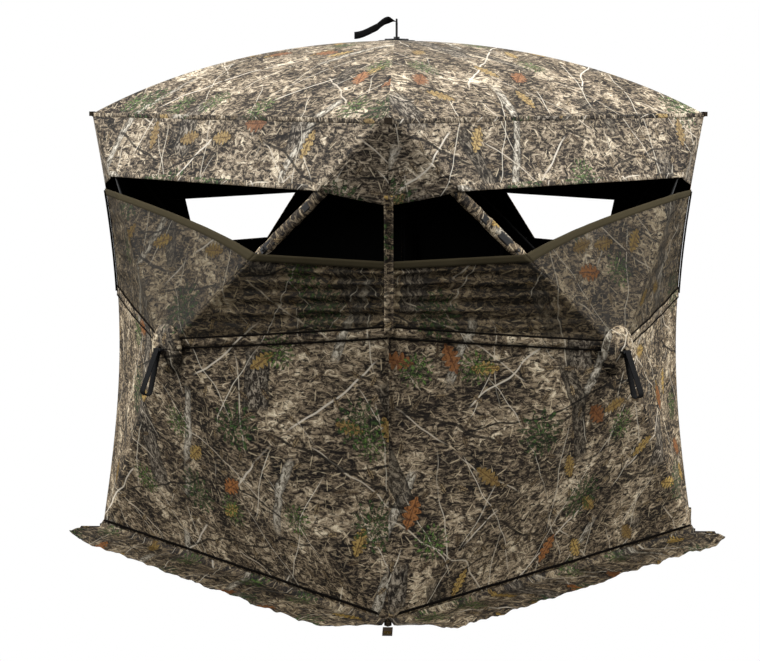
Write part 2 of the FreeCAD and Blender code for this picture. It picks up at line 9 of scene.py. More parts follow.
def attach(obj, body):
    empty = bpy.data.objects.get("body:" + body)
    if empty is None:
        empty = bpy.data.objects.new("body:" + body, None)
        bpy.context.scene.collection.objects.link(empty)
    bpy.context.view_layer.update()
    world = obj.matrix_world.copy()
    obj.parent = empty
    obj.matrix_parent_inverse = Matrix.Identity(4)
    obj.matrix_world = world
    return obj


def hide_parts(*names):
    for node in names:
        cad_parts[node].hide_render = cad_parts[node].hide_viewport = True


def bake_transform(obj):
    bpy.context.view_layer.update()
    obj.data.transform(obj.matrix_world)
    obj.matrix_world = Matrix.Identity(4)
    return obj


bl_info = {
    "name": "Ground Blind Builder",
    "version": (1, 0, 0),
    "blender": (4, 5, 0),
    "location": "View3D > Sidebar > Ground Blind",
    "description": "Builds a pop-up ground blind with printed cloth walls around a rigid frame",
    "category": "Object",
}

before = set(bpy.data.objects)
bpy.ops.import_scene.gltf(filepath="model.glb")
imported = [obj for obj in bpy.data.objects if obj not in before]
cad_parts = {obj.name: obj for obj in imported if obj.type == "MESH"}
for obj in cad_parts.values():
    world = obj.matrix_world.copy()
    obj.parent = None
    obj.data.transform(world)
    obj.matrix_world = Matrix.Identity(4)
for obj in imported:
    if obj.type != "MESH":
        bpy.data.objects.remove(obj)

SIDES = ("front", "right", "back", "left")
UP = Vector((0, 0, 1))

# Metres. HALF is half the floor side, BASE the height of the line the lower cloth hinges on.
HALF = 0.762
BASE = 0.006
RIDGE_RUN = 1.052

# Rear windows: edges as shares of the drop from eave to hub, then half widths.
WINDOW_TOP, WINDOW_LOW = 0.455, 0.703
WINDOW_TOP_HALF, WINDOW_LOW_HALF = 0.275, 0.180

# Door: nearest and farthest distance from the upright, and its margin above and below.
DOOR = (0.060, 0.460, 0.060)
ZIP_OUT = 0.014

# Skirt ends: how much each is drawn in at its outer edge, mitred or pulled back.
SKIRT_MITRE, SKIRT_DRAWN_IN = 0.052, 0.140

# Heights that the corner straps run between, where they aren't over a window.
STRAP_SPAN = (0.88, 1.24)

# Sleeved poles: span as shares of the ridge, and half sizes across.
POLE_CLOTH = ("front_upper_right_pole", "right_upper_left_pole")
SLEEVE_SPAN = (0.16, 0.98)
SLEEVE_WIDE, SLEEVE_DEEP = 0.0195, 0.0085

# Hub patches: radius of the hole for the pull loop, width of the ring and outer radius.
PATCH_HOLE, PATCH_RING, PATCH_EDGE = 0.009, 0.070, 0.079

# Camera: place before it is turned to the near corner, turn and dip in radians, lens in mm.
CAMERA_PLACE = (-0.0582, -5.808, 1.610)
CAMERA_TURN = math.radians(45) + 0.03188
CAMERA_DIP = 0.1489
CAMERA_LENS = 77.47


class BlindSettings(bpy.types.PropertyGroup):
    eave: bpy.props.FloatProperty(name="Eave height", description="Height of the top edge of "
                                  "the walls", default=1.51, unit="LENGTH")
    hub: bpy.props.FloatProperty(name="Hub height", description="Height of the wall hubs",
                                 default=0.785, unit="LENGTH")
    bulge: bpy.props.FloatProperty(name="Wall bulge", description="How far a hub pushes its "
                                   "wall out", default=0.262, unit="LENGTH")
    rise: bpy.props.FloatProperty(name="Roof rise", description="Height of the roof above the "
                                  "eave", default=0.254, unit="LENGTH")
    tuck: bpy.props.FloatProperty(name="Corner tuck", description="How far the cloth pulls each "
                                  "upright edge inwards", default=0.078, unit="LENGTH")
    cloth: bpy.props.FloatProperty(name="Cloth thickness", description="Thickness of the wall "
                                   "cloth", default=0.0016, unit="LENGTH")
    brow_mid: bpy.props.FloatProperty(name="Valance edge", description="Height of the lower "
                                      "edge of the valance", default=1.300, unit="LENGTH")
    brow_near: bpy.props.FloatProperty(name="Valance near corner", description="The same at the "
                                       "corner both window walls share", default=1.262,
                                       unit="LENGTH")
    brow_outer: bpy.props.FloatProperty(name="Valance outer corner", description="The same at "
                                        "the outer corners", default=1.262, unit="LENGTH")
    screen_near: bpy.props.FloatProperty(name="Screen near corner", description="Height of the "
                                         "lowered screen at the shared corner", default=1.095,
                                         unit="LENGTH")
    screen_mid: bpy.props.FloatProperty(name="Screen at far pole", description="Height of the "
                                        "screen where it crosses the outer pole", default=1.250,
                                        unit="LENGTH")
    screen_outer: bpy.props.FloatProperty(name="Screen outer corner", description="Height of "
                                          "the screen at the outer corner", default=1.245,
                                          unit="LENGTH")
    sill_corner: bpy.props.FloatProperty(name="Sill at corner", description="Height of the seam "
                                         "under the screen at a corner", default=0.885,
                                         unit="LENGTH")
    sill_hub: bpy.props.FloatProperty(name="Sill at hub", description="Height of the same seam "
                                      "beside the hub", default=0.805, unit="LENGTH")
    skirt: bpy.props.FloatProperty(name="Skirt width", description="Width of the ground skirt",
                                   default=0.178, unit="LENGTH")
    crease: bpy.props.FloatProperty(name="Crease height", description="Depth of the creases in "
                                    "the cloth", default=0.0035, unit="LENGTH")


def settings():
    return bpy.context.scene.blind_settings


def clamp(value, low=0.0, high=1.0):
    return max(low, min(high, value))


def ease(value):
    value = clamp(value)
    return value * value * (3 - 2 * value)


def lerp(a, b, t):
    return a + (b - a) * t


# ------------------------------------------------------------------ shape of the walls
def to_world(side, u, z, out):
    """Point of a wall: u along it, z up, out away from the shelter."""
    turn = Matrix.Rotation(math.radians(90 * SIDES.index(side)), 3, "Z")
    return turn @ Vector((u, -HALF - out, z))


def edge_point(side, sign, z):
    """Upright edge of a wall, drawn in along the diagonal between its corners."""
    s = settings()
    inset = s.tuck * math.sin(math.pi * clamp((z - BASE) / (s.eave - BASE))) / math.sqrt(2)
    return to_world(side, sign * (HALF - inset), z, -inset)


def ridge_share(z):
    """How far a ridge has run from its corner, 0, to the hub, 1, at a height."""
    s = settings()
    return clamp((s.eave - z) / (s.eave - s.hub) if z > s.hub else (z - BASE) / (s.hub - BASE))


def ridge_point(side, sign, z):
    """Point of the fold that a pole holds out, between a corner and the hub."""
    share = ridge_share(z)
    return to_world(side, sign * HALF * (1 - share), z, settings().bulge * share)


def bump_at(point, scale, amount, seed):
    """Shallow creases of stretched cloth, taller than they are wide."""
    place = Vector((point.x * scale, point.y * scale, point.z * scale * 1.6 + seed))
    return amount * noise.fractal(place, 0.7, 2.1, 3)


def wall_normal(side):
    return to_world(side, 0, 0, 1) - to_world(side, 0, 0, 0)


def hold_fold(a):
    """Lets folds die out at both sewn edges."""
    return ease(a * 12) * ease((1 - a) * 8)


def side_surface(side, sign, low, high, sag=0.0, ripple=0.0):
    """Cloth between an upright edge and the two ridges; low and high give z across it."""
    s = settings()
    out = wall_normal(side)

    def place(a, b):
        z = lerp(low(a), high(a), b)
        edge = edge_point(side, sign, z)
        ridge = ridge_point(side, sign, z)
        point = edge.lerp(ridge, a)
        width = (ridge - edge).length
        hold = math.sin(math.pi * a) * clamp(width / 0.25)
        push = bump_at(point, 5.0, s.crease * 1.3, 3.1 * SIDES.index(side)) * hold
        push -= sag * hold * math.sin(math.pi * b)
        if ripple:
            fold = math.sin(36 * b ** 1.3 + 4 * noise.noise(point * 2.4) - 3.0 * a)
            fine = math.sin(83 * b + 6 * noise.noise(point * 3.7) - 7.0 * a)
            push += (ripple * (fold + 0.35 * fine) * (0.25 + 0.75 * (1 - a)) * hold_fold(a)
                     * ease(b * 4) * ease((1 - b) * 8 + 0.25))
        return point + out * push

    def chart(a, b):
        z = lerp(low(a), high(a), b)
        along = sign * lerp(HALF, HALF * (1 - ridge_share(z)), a)
        return (along + 1.6 * SIDES.index(side), z)

    return place, chart


def end_surface(side, low, high, sag=0.0, ripple=0.0):
    """Cloth between both ridges, above or below the hub."""
    s = settings()
    out = wall_normal(side)

    def place(a, b):
        z = lerp(low(a), high(a), b)
        left = ridge_point(side, -1, z)
        right = ridge_point(side, 1, z)
        point = left.lerp(right, a)
        hold = math.sin(math.pi * a) * clamp((right - left).length / 0.3)
        push = bump_at(point, 5.0, s.crease * 1.2, 1.7 * SIDES.index(side)) * hold
        push -= sag * hold * math.sin(math.pi * clamp(b))
        if ripple:
            fold = math.sin(27 * b + 4 * a + 4 * noise.noise(point * 2.6))
            push += ripple * hold * fold * ease(b * 3) * ease((1 - b) * 5 + 0.2)
        return point + out * push

    def chart(a, b):
        z = lerp(low(a), high(a), b)
        wide = HALF * (1 - ridge_share(z))
        return (lerp(-wide, wide, a) + 1.6 * SIDES.index(side), z)

    return place, chart


# ------------------------------------------------------------------ mesh helpers
def new_piece(name, bm):
    """Turns a finished bmesh into an object of the scene."""
    mesh = bpy.data.meshes.new(name)
    bm.to_mesh(mesh)
    bm.free()
    piece = bpy.data.objects.new(name, mesh)
    bpy.context.scene.collection.objects.link(piece)
    return piece


def grid_mesh(name, columns, rows, place, chart, outward):
    """Grid shaped by place(a, b), with a UV map in metres and faces turned outwards."""
    bm = bmesh.new()
    bmesh.ops.create_grid(bm, x_segments=columns, y_segments=rows, size=0.5)
    layer = bm.loops.layers.uv.new("Cloth")
    shares = {v: (v.co.x + 0.5, v.co.y + 0.5) for v in bm.verts}
    for face in bm.faces:
        face.smooth = True
        for loop in face.loops:
            loop[layer].uv = chart(*shares[loop.vert])
    for vert, (a, b) in shares.items():
        vert.co = place(a, b)
    bm.normal_update()
    if sum(face.normal.dot(outward) * face.calc_area() for face in bm.faces) < 0:
        bmesh.ops.reverse_faces(bm, faces=bm.faces)
    return new_piece(name, bm)


def mesh_area(piece):
    return sum(face.area for face in piece.data.polygons)


def thicken(piece, thick, lift=0.0, inner=1):
    """Gives a sheet its thickness; lift 0 grows it inwards, 1 outwards."""
    solid = piece.modifiers.new("Thickness", "SOLIDIFY")
    solid.thickness = thick
    solid.offset = -1.0 + 2.0 * lift
    solid.use_even_offset = False
    solid.material_offset = inner
    solid.material_offset_rim = 0


def finish_cloth(piece, outer, inner, slot, held="stretched", thick=None):
    """Cloth, lining and thickness; slot is not used; the cut size is the panel's box fitted to its
    area.
    """
    piece.data.materials.append(bpy.data.materials[outer])
    piece.data.materials.append(bpy.data.materials[inner])
    size = [max(c[i] for c in piece.bound_box) - min(c[i] for c in piece.bound_box)
            for i in range(3)]
    size.sort(reverse=True)
    area = mesh_area(piece)
    wide, tall = max(size[0], 0.03), max(size[1], 0.03)
    if area > wide * tall:
        tall = area / wide * 1.001
    if area < 0.31 * wide * tall:
        tall = area / (0.32 * wide)
    thicken(piece, settings().cloth if thick is None else thick)


def ribbon(name, path, across, material, thick, width, body, chart_start=0.0):
    """Flat band along path(b), riding on a body; across(b) is its unit width direction."""
    def place(a, b):
        return path(b) + across(b) * (a - 0.5) * width

    length = sum((path((i + 1) / 40) - path(i / 40)).length for i in range(40))
    outward = (path(0.52) - path(0.48)).cross(across(0.5))
    if outward.dot(path(0.5) - UP * 0.8) < 0:
        outward.negate()
    piece = grid_mesh(name, 3, 48, place, lambda a, b: (a * width + chart_start, b * length),
                      outward)
    piece.data.materials.append(bpy.data.materials[material])
    thicken(piece, thick, 0.5, 0)
    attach(piece, body)
    return piece


# ------------------------------------------------------------------ materials
def linear(code):
    """sRGB hex to linear colour."""
    values = []
    for index in (0, 2, 4):
        c = int(code[index:index + 2], 16) / 255
        values.append(c / 12.92 if c <= 0.04045 else ((c + 0.055) / 1.055) ** 2.4)
    return (*values, 1.0)


class Net:
    """Small builder for one material's node tree."""

    def __init__(self, name):
        self.material = bpy.data.materials.new(name)
        self.material.use_nodes = True
        self.tree = self.material.node_tree
        self.tree.nodes.clear()

    def add(self, kind, inputs=None, **options):
        made = self.tree.nodes.new(kind)
        for key, value in options.items():
            setattr(made, key, value)
        for key, value in (inputs or {}).items():
            self.feed(made.inputs[key], value)
        return made

    def feed(self, socket, value):
        if isinstance(value, bpy.types.NodeSocket):
            self.tree.links.new(value, socket)
        else:
            socket.default_value = value

    def math(self, operation, a, b=0.0, c=0.0, limit=False):
        return self.add("ShaderNodeMath", {0: a, 1: b, 2: c}, operation=operation,
                        use_clamp=limit).outputs[0]

    def vector(self, operation, a, b=(0, 0, 0)):
        made = self.add("ShaderNodeVectorMath", {0: a}, operation=operation)
        self.feed(made.inputs["Scale" if operation == "SCALE" else 1], b)
        return made.outputs[0]

    def step(self, value, low, high):
        return self.add("ShaderNodeMapRange", {"Value": value, "From Min": low,
                                               "From Max": high},
                        interpolation_type="SMOOTHSTEP").outputs[0]

    def blend(self, share, a, b, kind="MIX"):
        made = self.add("ShaderNodeMix", {0: share}, data_type="RGBA", blend_type=kind)
        self.feed(made.inputs[6], a)
        self.feed(made.inputs[7], b)
        return made.outputs[2]

    def noise(self, vector, scale, detail=4.0, rough=0.6, twist=0.0, size="2D"):
        return self.add("ShaderNodeTexNoise", {"Vector": vector, "Scale": scale,
                                               "Detail": detail, "Roughness": rough,
                                               "Distortion": twist},
                        noise_dimensions=size).outputs[0]

    def ramp(self, value, stops):
        made = self.add("ShaderNodeValToRGB", {"Fac": value})
        bar = made.color_ramp
        while len(bar.elements) < len(stops):
            bar.elements.new(0.5)
        for element, (place, code) in zip(bar.elements, stops):
            element.position = place
            element.color = linear(code)
        return made.outputs[0]

    def surface(self, colour, rough, normal=None, metal=0.0, gloss=0.5):
        made = self.add("ShaderNodeBsdfPrincipled", {
            "Base Color": colour, "Roughness": rough, "Specular IOR Level": gloss,
            "Metallic": metal})
        if normal is not None:
            self.feed(made.inputs["Normal"], normal)
        return made.outputs[0]

    def output(self, shader):
        self.add("ShaderNodeOutputMaterial", {"Surface": shader})
        return self.material


def stamps(net, uv, cell, seed, share):
    """Scattered marks: local x, y in mm from each cell's centre, a random value, a mask."""
    moved = net.vector("ADD", uv, (seed * 37.0, seed * 91.0, 0))
    cells = net.add("ShaderNodeTexVoronoi", {"Vector": moved, "Scale": 1.0 / cell,
                                             "Randomness": 0.75}, voronoi_dimensions="2D")
    local = net.vector("SUBTRACT", moved, cells.outputs["Position"])
    pick = net.add("ShaderNodeSeparateColor", {0: cells.outputs["Color"]})
    turn = net.math("MULTIPLY", pick.outputs[0], 6.283)
    spun = net.add("ShaderNodeVectorRotate", {"Vector": local, "Angle": turn},
                   rotation_type="Z_AXIS").outputs[0]
    parts = net.add("ShaderNodeSeparateXYZ", {0: spun})
    shown = net.math("LESS_THAN", pick.outputs[1], share)
    return parts.outputs[0], parts.outputs[1], pick.outputs[2], shown


def leaf_mask(net, x, y, long, wide, lobes, edge=1.5):
    """Leaf with rounded lobes along its length."""
    along = net.math("DIVIDE", x, long)
    body = net.math("SUBTRACT", 1.0, net.math("MULTIPLY", along, along), limit=True)
    wave = net.math("ABSOLUTE", net.math("SINE", net.math("MULTIPLY", along, lobes)))
    reach = net.math("MULTIPLY", net.math("MULTIPLY", body, wide),
                     net.math("MULTIPLY_ADD", wave, 0.6, 0.4))
    gap = net.math("SUBTRACT", reach, net.math("ABSOLUTE", y))
    return net.step(gap, -edge * 0.3, edge)


def sprig_mask(net, x, y, radius, blades):
    """Burst of narrow blades round a centre."""
    angle = net.math("ARCTAN2", y, x)
    wave = net.math("ABSOLUTE", net.math("SINE", net.math("MULTIPLY", angle, blades)))
    sharp = net.math("POWER", wave, 0.7)
    ragged = net.math("MULTIPLY", sharp, radius)
    length = net.math("SQRT", net.math("ADD", net.math("MULTIPLY", x, x),
                                       net.math("MULTIPLY", y, y)))
    return net.step(net.math("SUBTRACT", ragged, length), -2.0, 4.0)


def lines(net, x, y, angle, spacing, half, wander, seed):
    """Mask, cross position and broken presence of long wandering strips."""
    c, s = math.cos(math.radians(angle)), math.sin(math.radians(angle))
    across = net.math("ADD", net.math("MULTIPLY", x, s), net.math("MULTIPLY", y, -c))
    along = net.math("ADD", net.math("MULTIPLY", x, c), net.math("MULTIPLY", y, s))
    here = net.add("ShaderNodeCombineXYZ", {0: net.math("MULTIPLY", along, 0.004),
                                            1: net.math("MULTIPLY", across, 0.0022),
                                            2: seed}).outputs[0]
    shift = net.math("MULTIPLY", net.math("SUBTRACT", net.noise(here, 1.0, 2.0, 0.5, size="3D"),
                                          0.5), wander)
    place = net.math("DIVIDE", net.math("ADD", across, shift), spacing)
    offset = net.math("MULTIPLY", net.math("SUBTRACT", net.math("FRACT", place), 0.5), spacing)
    row = net.math("FLOOR", place)
    gate = net.add("ShaderNodeCombineXYZ", {0: net.math("MULTIPLY", along, 0.0032),
                                            1: net.math("MULTIPLY", row, 7.3),
                                            2: seed + 4.0}).outputs[0]
    there = net.step(net.noise(gate, 1.0, 1.0, 0.4, size="3D"), 0.5, 0.56)
    mask = net.math("MULTIPLY", net.step(net.math("SUBTRACT", half, net.math("ABSOLUTE", offset)),
                                         -0.6, 1.2), there)
    return mask, net.math("DIVIDE", offset, half), along


def bark(net, x, y, strips, base):
    """Standing trunks and leaning limbs laid over the litter."""
    for angle, spacing, half, wander, seed, deep, mid, pale in strips:
        mask, across, along = lines(net, x, y, angle, spacing, half, wander, seed)
        place = net.add("ShaderNodeCombineXYZ", {
            0: net.math("MULTIPLY", along, 0.055),
            1: net.math("MULTIPLY", across, half * 0.085)}).outputs[0]
        grain = net.noise(place, 1.0, 6.0, 0.72, 0.6)
        skin = net.ramp(grain, [(0.40, deep), (0.50, mid), (0.60, pale)])
        round_off = net.math("MULTIPLY", net.math("MULTIPLY", across, across), 0.75)
        shade = net.math("SUBTRACT", 1.0, round_off, limit=True)
        grey = net.add("ShaderNodeCombineColor", {0: shade, 1: shade, 2: shade}).outputs[0]
        skin = net.blend(1.0, skin, grey, "MULTIPLY")
        base = net.blend(net.math("MULTIPLY", mask, 0.92), base, skin)
    return base


def camo(name, tone, warm, painted_inside_shade=0.0, see_through=0.0):
    """Woodland print, in mm: litter, trunks, limbs, twigs, sprigs and leaves."""
    net = Net(name)
    chart = net.add("ShaderNodeUVMap", uv_map="Cloth").outputs[0]
    uv = net.vector("SCALE", chart, 1000.0)
    split = net.add("ShaderNodeSeparateXYZ", {0: uv})
    x, y = split.outputs[0], split.outputs[1]
    flat = net.add("ShaderNodeMapping", {"Vector": uv, "Scale": (0.8, 1.25, 1.0)}).outputs[0]
    litter = net.noise(flat, 0.036, 8.0, 0.74, 0.9)
    patches = net.noise(uv, 0.0055, 3.0, 0.55)
    value = net.math("ADD", net.math("MULTIPLY", litter, 0.78),
                     net.math("MULTIPLY", patches, 0.34))
    base = net.ramp(value, [(0.42, "060504"), (0.49, "1c1611"), (0.55, "42382c"),
                            (0.60, "6d5f4c"), (0.65, "9a8b73"), (0.73, "cbbea3")])
    streaks = net.noise(net.add("ShaderNodeMapping", {
        "Vector": uv, "Rotation": (0, 0, 0.45), "Scale": (0.34, 1.0, 1.0)}).outputs[0],
        0.13, 4.0, 0.65, 0.5)
    base = net.blend(net.step(streaks, 0.52, 0.66), base, linear("17120d"))
    base = net.blend(net.math("MULTIPLY", net.step(streaks, 0.47, 0.36), 0.55), base,
                     linear("8d7d63"))
    # Small dead leaves and chips: cell, seed, share of cells used, half length and width.
    for cell, seed, share, long, wide, dark, pale in (
            (27.0, 8.0, 0.62, 14.0, 3.4, "120e0a", "9c8c70"),
            (38.0, 9.0, 0.48, 21.0, 4.2, "1b150f", "b7a789")):
        lx, ly, pick, shown = stamps(net, uv, cell, seed, share)
        mask = net.math("MULTIPLY", leaf_mask(net, lx, ly, long, wide, 0.8), shown)
        tint = net.blend(net.step(pick, 0.35, 0.65), linear(dark), linear(pale))
        base = net.blend(net.math("MULTIPLY", mask, 0.7), base, tint)
    # Trunks and limbs: angle in degrees, spacing, half width, wander, seed and three colours.
    base = bark(net, x, y, (
        (86.0, 560.0, 44.0, 60.0, 3.0, "0f0c09", "39322a", "8d8373"),
        (66.0, 430.0, 16.0, 70.0, 12.0, "3a342b", "857d6e", "bdb5a4"),
        (112.0, 640.0, 27.0, 80.0, 19.0, "0d0b08", "332c23", "776d5d")), base)
    # Twigs, pale and dark: as above, with one colour and its strength.
    for angle, spacing, half, wander, seed, tint, power in (
            (38.0, 330.0, 2.9, 90.0, 21.0, "b9b0a0", 0.85),
            (146.0, 290.0, 2.4, 110.0, 33.0, "aba08d", 0.8),
            (97.0, 230.0, 1.9, 80.0, 45.0, "b2a997", 0.75),
            (12.0, 210.0, 3.6, 120.0, 57.0, "0d0a07", 0.85),
            (160.0, 260.0, 4.4, 120.0, 63.0, "15110c", 0.85),
            (62.0, 190.0, 1.6, 90.0, 71.0, "c3bbaa", 0.75),
            (124.0, 210.0, 1.5, 90.0, 83.0, "bdb4a2", 0.7)):
        mask = lines(net, x, y, angle, spacing, half, wander, seed)[0]
        base = net.blend(net.math("MULTIPLY", mask, power), base, linear(tint))
    # Leaves: brown, yellow and orange, each with a dark rim and a midrib.
    for cell, seed, share, long, wide, lobes, dark, pale in (
            (70.0, 2.0, 0.42, 24.0, 8.5, 9.0, "2c2118", "8a7757"),
            (170.0, 3.0, 0.22, 50.0, 25.0, 9.5, "4f3a1d", "a58a4c"),
            (230.0, 4.0, 0.15, 54.0, 30.0, 8.0, "4a2b15", "925f30")):
        lx, ly, pick, shown = stamps(net, uv, cell, seed, share)
        halo = net.math("MULTIPLY", leaf_mask(net, lx, ly, long * 1.16, wide * 1.3, lobes, 4.0),
                        shown)
        base = net.blend(net.math("MULTIPLY", halo, 0.6), base, linear("0d0a07"))
        mask = net.math("MULTIPLY", leaf_mask(net, lx, ly, long, wide, lobes), shown)
        rib = net.step(net.math("ABSOLUTE", ly), 0.3, 2.4)
        vein = net.noise(uv, 0.10, 4.0, 0.7)
        tint = net.blend(net.math("MULTIPLY", pick, 0.7, limit=True), linear(pale), linear(dark))
        tint = net.blend(net.step(vein, 0.44, 0.62), tint, linear(dark))
        tint = net.blend(rib, linear(dark), tint)
        base = net.blend(net.math("MULTIPLY", mask, 0.88), base, tint)
    # Green sprigs: cell, seed, share of cells used, radius and number of blades.
    for cell, seed, share, radius, blades, dark, pale in (
            (330.0, 5.0, 0.36, 84.0, 6.5, "0f1a0b", "3b5426"),
            (260.0, 6.0, 0.26, 60.0, 8.5, "16200f", "54702f")):
        lx, ly, pick, shown = stamps(net, uv, cell, seed, share)
        mask = net.math("MULTIPLY", sprig_mask(net, lx, ly, radius, blades), shown)
        leafy = net.noise(uv, 0.085, 4.0, 0.7)
        mask = net.math("MULTIPLY", mask, net.step(leafy, 0.42, 0.52))
        tint = net.blend(net.step(leafy, 0.5, 0.68), linear(dark), linear(pale))
        base = net.blend(net.math("MULTIPLY", mask, 0.9), base, tint)
    tuned = net.add("ShaderNodeHueSaturation", {"Color": base, "Value": tone,
                                                "Saturation": warm}).outputs[0]
    # Blends the print towards dark brown: the black lining seen through the mesh, and its painted
    # shade.
    if painted_inside_shade:
        tuned = net.blend(painted_inside_shade, tuned, linear("231f17"))
    # The threads are about 0.3 mm apart, too fine to show, so the weave is drawn at 2 mm.
    weave = net.noise(uv, 0.5, 2.0, 0.5)
    slack = net.noise(uv, 0.012, 3.0, 0.5)
    height = net.math("ADD", net.math("MULTIPLY", weave, 0.1), slack)
    normal = net.add("ShaderNodeBump", {"Strength": 0.35, "Distance": 0.006,
                                        "Height": height}).outputs[0]
    shader = net.surface(tuned, 0.75, normal, gloss=0.16)
    if see_through:
        clear = net.add("ShaderNodeBsdfTransparent").outputs[0]
        shader = net.add("ShaderNodeMixShader", {0: see_through, 1: shader, 2: clear}).outputs[0]
    return net.output(shader)


def plain(name, code, rough, metal=0.0, grain=0.0, scale=800.0):
    """One colour with a fine grain; scale is grains to the metre, 800 being 1.25 mm."""
    net = Net(name)
    place = net.add("ShaderNodeTexCoord").outputs["Object"]
    spots = net.noise(place, scale, 2.0, 0.5, size="3D")
    normal = net.add("ShaderNodeBump", {"Strength": grain, "Distance": 0.001,
                                        "Height": spots}).outputs[0]
    return net.output(net.surface(linear(code), rough, normal, metal=metal,
                                  gloss=0.5 if metal else 0.5 - 0.5 * rough))


class BLIND_OT_materials(bpy.types.Operator):
    """Makes the printed cloth, webbing, plastic and metal finishes"""
    bl_idname = "blind.materials"
    bl_label = "Make finishes"

    def execute(self, context):
        # Woven polyester with a transfer print: matt. The roof copy is painted paler and greyer
        # than the wall copy, as painted light from above; the valances use it too.
        camo("Printed polyester roof", 1.38, 0.86)
        camo("Printed polyester wall", 1.30, 0.98)
        # Open mesh: a little of the inside shows through, and the rest of the dark inside is
        # painted into its colour, the black lining and its painted shade, which dulls the print.
        # The slack near screens take a copy with less painted shade.
        camo("Printed mesh screen", 0.72, 1.1, painted_inside_shade=0.36, see_through=0.10)
        camo("Printed mesh screen, slack", 0.78, 1.15, painted_inside_shade=0.30, see_through=0.10)
        # The same cloth, painted darker: painted shade on the skirt at the foot of the walls.
        camo("Printed polyester skirt", 0.72, 1.05)
        # Woven tape, sunk thread and folded binding: dull lines with a coarse grain. The thread
        # colour also draws the painted shadow line along the foot of each wall.
        plain("Olive hem tape", "3c3627", 0.9, grain=0.8)
        plain("Dark seam thread", "100d0a", 0.9, grain=0.3)
        plain("Brown corner binding", "2a231b", 0.9, grain=0.5)
        # Coated back of the cloth: almost no light comes back from it.
        plain("Black cloth lining", "0b0b0b", 0.9, grain=0.2)
        # Woven nylon strap, ribbed every 0.7 mm.
        plain("Black webbing", "0c0c0d", 0.8, grain=0.6, scale=1400.0)
        # Moulded hub and pulled rod: smooth, the moulding a little glossier.
        plain("Black nylon", "121213", 0.45)
        plain("Black fibreglass", "111111", 0.6)
        # Stamped and tumbled metal: soft highlights.
        plain("Dull brass eyelet", "8a7440", 0.4, metal=1.0)
        plain("Zinc plated steel", "9a9a98", 0.35, metal=1.0)
        # Sewn coil, a tooth every 1.7 mm: a rough dark line.
        plain("Black zip coil", "0c0c0c", 0.5, grain=0.8, scale=600.0)
        return {"FINISHED"}


# ------------------------------------------------------------------ cloth operators
def blend_side(piece, side, sign):
    """Bakes the piece's placement into its mesh."""
    start = to_world(side, sign * (HALF - 0.058), 0.8, 0)
    end = to_world(side, sign * (HALF - 0.058 - 0.13), 0.8, 0)
    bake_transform(piece)


def side_sheet(name, side, sign, gore, low, high, look, inner, slot, cols=26, rows=26,
               sag=0.0, ripple=0.0):
    place, chart = side_surface(side, sign, low, high, sag, ripple)
    piece = grid_mesh(name, cols, rows, place, chart, wall_normal(side))
    finish_cloth(piece, look, inner, slot)
    blend_side(piece, side, sign)
    return piece


def end_sheet(name, side, gore, low, high, look, inner, slot, cols=36, rows=22,
              sag=0.0, ripple=0.0):
    place, chart = end_surface(side, low, high, sag, ripple)
    piece = grid_mesh(name, cols, rows, place, chart, wall_normal(side))
    finish_cloth(piece, look, inner, slot)
    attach(piece, gore)
    return piece


def level(value):
    return lambda a: value


def slant(first, last):
    return lambda a: lerp(first, last, a)


WALL = ("Printed polyester wall", "Black cloth lining", "wall_cloth")
# Valances take the roof copy of the print, with its painted light.
BRIM = ("Printed polyester roof", "Black cloth lining", "wall_cloth")
SCREEN = ("Printed mesh screen", "Printed mesh screen", "wall_cloth")
# Near-corner screens: the copy of the mesh print with less painted shade.
NEAR_SCREEN_LESS_SHADE = ("Printed mesh screen, slack", "Printed mesh screen, slack", "wall_cloth")


def band(name, side, gore, place, chart, look, lift, cols, sign=None):
    """Narrow strip sewn over the cloth, lifted off it by a few millimetres."""
    out = wall_normal(side)
    piece = grid_mesh(name, cols, 3, lambda a, b: place(a, b) + out * lift, chart, out)
    finish_cloth(piece, look, look, "wall_cloth", thick=0.0012)
    if sign is None:
        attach(piece, gore)
    else:
        blend_side(piece, side, sign)


def side_band(name, side, sign, gore, line, below, above, look, lift):
    place, chart = side_surface(side, sign, lambda a: line(a) - below, lambda a: line(a) + above)
    band(name, side, gore, place, chart, look, lift, 26, sign)


def end_band(name, side, gore, line, below, above, look, lift):
    place, chart = end_surface(side, lambda a: line(a) - below, lambda a: line(a) + above)
    band(name, side, gore, place, chart, look, lift, 40)


